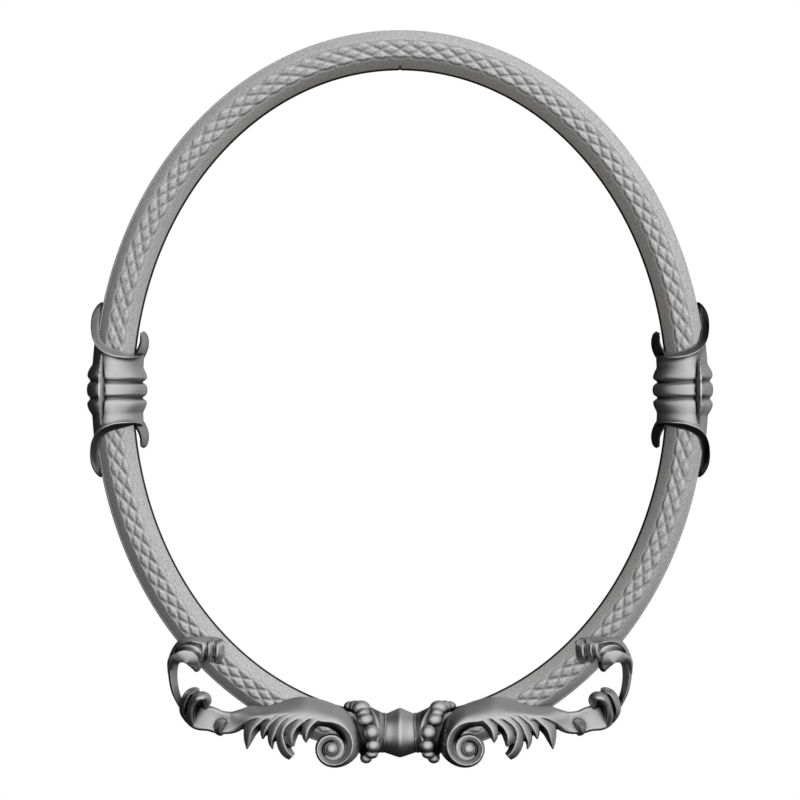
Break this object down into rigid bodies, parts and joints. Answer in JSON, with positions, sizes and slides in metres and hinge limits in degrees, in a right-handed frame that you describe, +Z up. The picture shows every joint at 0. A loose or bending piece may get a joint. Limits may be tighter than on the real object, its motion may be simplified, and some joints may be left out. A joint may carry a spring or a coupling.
{
  "type": "oval wall mirror frame",
  "caption": "Oval wall mirror in a jointed carved moulding with cast side collars, acanthus scrolls, tendrils and a beaded foot collar, hung from swinging rings.",
  "frame": {"origin": "centre of the oval on the wall plane, which the rear faces of the bumpers lie in", "axes": "+Z up, +X to the right of someone facing the mirror, +Y into the wall; the front faces -Y"},
  "size_m": [0.6268, 0.0506, 0.7415],
  "materials": {
    "painted_wood": "light grey paint, finely sanded, satin",
    "casting": "dark grey satin casting",
    "mirror": "silvered glass",
    "hardboard": "raw hardboard",
    "beech": "raw compressed beech",
    "steel": "zinc plated",
    "rubber": "matt"
  },
  "bodies": {
    "frame": {"moulding_upper_right": "painted_wood", "moulding_upper_left": "painted_wood", "moulding_lower_right": "painted_wood", "moulding_lower_left": "painted_wood", "biscuit_crown": "beech", "biscuit_right": "beech", "biscuit_foot": "beech", "biscuit_left": "beech", "mirror_glass": "mirror", "backing_board": "hardboard", "side_collar_right": "casting", "side_collar_left": "casting", "foot_collar": "casting", "pearl_string_right": "casting", "pearl_string_left": "casting", "scroll_right": "casting", "scroll_left": "casting", "tendril_right": "casting", "tendril_left": "casting", "collar_screw_upper_right": "steel", "collar_screw_upper_left": "steel", "collar_screw_lower_right": "steel", "collar_screw_lower_left": "steel", "foot_collar_screw_right": "steel", "foot_collar_screw_left": "steel", "scroll_screw_leaf_right": "steel", "scroll_screw_leaf_left": "steel", "scroll_screw_volute_right": "steel", "scroll_screw_volute_left": "steel", "tendril_screw_right": "steel", "tendril_screw_left": "steel", "turn_button_crown_screw": "steel", "turn_button_foot_screw": "steel", "turn_button_screw_upper_right": "steel", "turn_button_screw_upper_left": "steel", "turn_button_screw_lower_right": "steel", "turn_button_screw_lower_left": "steel", "hanger_strap_right": "steel", "hanger_strap_left": "steel", "hanger_screw_upper_right": "steel", "hanger_screw_upper_left": "steel", "hanger_screw_lower_right": "steel", "hanger_screw_lower_left": "steel", "bumper_upper_right": "rubber", "bumper_upper_left": "rubber", "bumper_lower_right": "rubber", "bumper_lower_left": "rubber"},
    "turn_button_crown_body": {"turn_button_crown": "steel"},
    "turn_button_foot_body": {"turn_button_foot": "steel"},
    "turn_button_upper_right_body": {"turn_button_upper_right": "steel"},
    "turn_button_upper_left_body": {"turn_button_upper_left": "steel"},
    "turn_button_lower_right_body": {"turn_button_lower_right": "steel"},
    "turn_button_lower_left_body": {"turn_button_lower_left": "steel"},
    "hanger_ring_right_body": {"hanger_ring_right": "steel"},
    "hanger_ring_left_body": {"hanger_ring_left": "steel"}
  },
  "joints": [
    {"name": "turn_button_crown_pivot", "type": "hinge", "parent": "frame", "child": "turn_button_crown_body", "pos_m": [0, -0.005, 0.337], "axis": [0, 1, 0], "continuous": true},
    {"name": "turn_button_foot_pivot", "type": "hinge", "parent": "frame", "child": "turn_button_foot_body", "pos_m": [0, -0.005, -0.337], "axis": [0, 1, 0], "continuous": true},
    {"name": "turn_button_upper_right_pivot", "type": "hinge", "parent": "frame", "child": "turn_button_upper_right_body", "pos_m": [0.22996, -0.005, 0.19364], "axis": [0, 1, 0], "continuous": true},
    {"name": "turn_button_upper_left_pivot", "type": "hinge", "parent": "frame", "child": "turn_button_upper_left_body", "pos_m": [-0.22996, -0.005, 0.19364], "axis": [0, 1, 0], "continuous": true},
    {"name": "turn_button_lower_right_pivot", "type": "hinge", "parent": "frame", "child": "turn_button_lower_right_body", "pos_m": [0.22996, -0.005, -0.19364], "axis": [0, 1, 0], "continuous": true},
    {"name": "turn_button_lower_left_pivot", "type": "hinge", "parent": "frame", "child": "turn_button_lower_left_body", "pos_m": [-0.22996, -0.005, -0.19364], "axis": [0, 1, 0], "continuous": true},
    {"name": "hanger_ring_right_swing", "type": "hinge", "parent": "frame", "child": "hanger_ring_right_body", "pos_m": [0.27019, -0.0024, 0.11741], "axis": [-1, 0, 0], "range_deg": [0, 160]},
    {"name": "hanger_ring_left_swing", "type": "hinge", "parent": "frame", "child": "hanger_ring_left_body", "pos_m": [-0.27019, -0.0024, 0.11741], "axis": [-1, 0, 0], "range_deg": [0, 160]}
  ]
}
